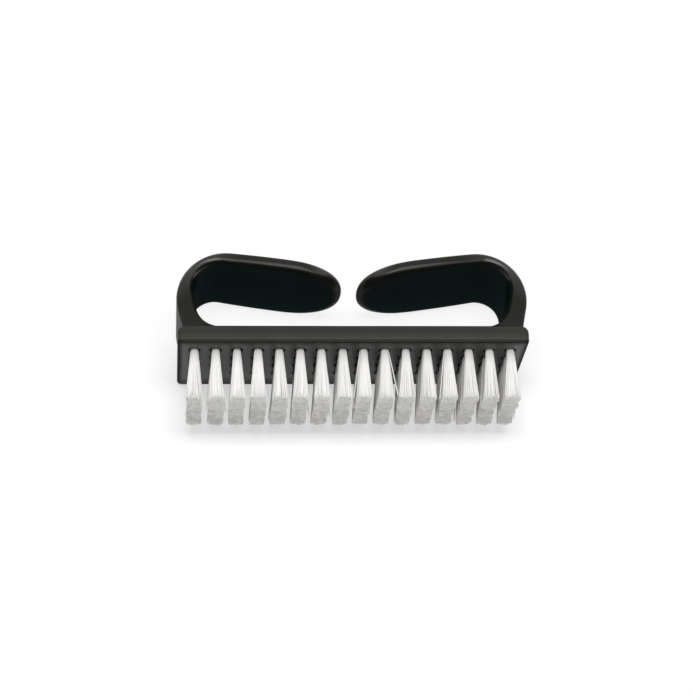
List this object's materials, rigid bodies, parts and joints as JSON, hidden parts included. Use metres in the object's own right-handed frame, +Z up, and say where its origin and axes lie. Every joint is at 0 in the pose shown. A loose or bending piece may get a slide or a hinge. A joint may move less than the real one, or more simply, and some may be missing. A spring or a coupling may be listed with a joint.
{
  "type": "nail brush",
  "caption": "Nail brush lying on its long side: a slim block with rows of flared bristle tufts, and two bent handle arms that reach towards each other over a finger gap.",
  "frame": {"origin": "middle of the block's lower long side, which the brush lies on", "axes": "+X along the block, +Y from the bristles to the handle arms, +Z up from the floor"},
  "size_m": [0.0956, 0.0413, 0.033],
  "materials": {
    "body": "moulded, semi gloss",
    "tufts": "cut nylon filaments",
    "anchors": "plain strip"
  },
  "bodies": {
    "root": {"brush_body": "body", "tuft_column_01": "tufts", "tuft_column_02": "tufts", "tuft_column_03": "tufts", "tuft_column_04": "tufts", "tuft_column_05": "tufts", "tuft_column_06": "tufts", "tuft_column_07": "tufts", "tuft_column_08": "tufts", "tuft_column_09": "tufts", "tuft_column_10": "tufts", "tuft_column_11": "tufts", "tuft_column_12": "tufts", "tuft_column_13": "tufts", "tuft_column_14": "tufts", "tuft_column_15": "tufts", "tuft_column_16": "tufts", "anchor_column_01": "anchors", "anchor_column_02": "anchors", "anchor_column_03": "anchors", "anchor_column_04": "anchors", "anchor_column_05": "anchors", "anchor_column_06": "anchors", "anchor_column_07": "anchors", "anchor_column_08": "anchors", "anchor_column_09": "anchors", "anchor_column_10": "anchors", "anchor_column_11": "anchors", "anchor_column_12": "anchors", "anchor_column_13": "anchors", "anchor_column_14": "anchors", "anchor_column_15": "anchors", "anchor_column_16": "anchors"}
  },
  "joints": []
}
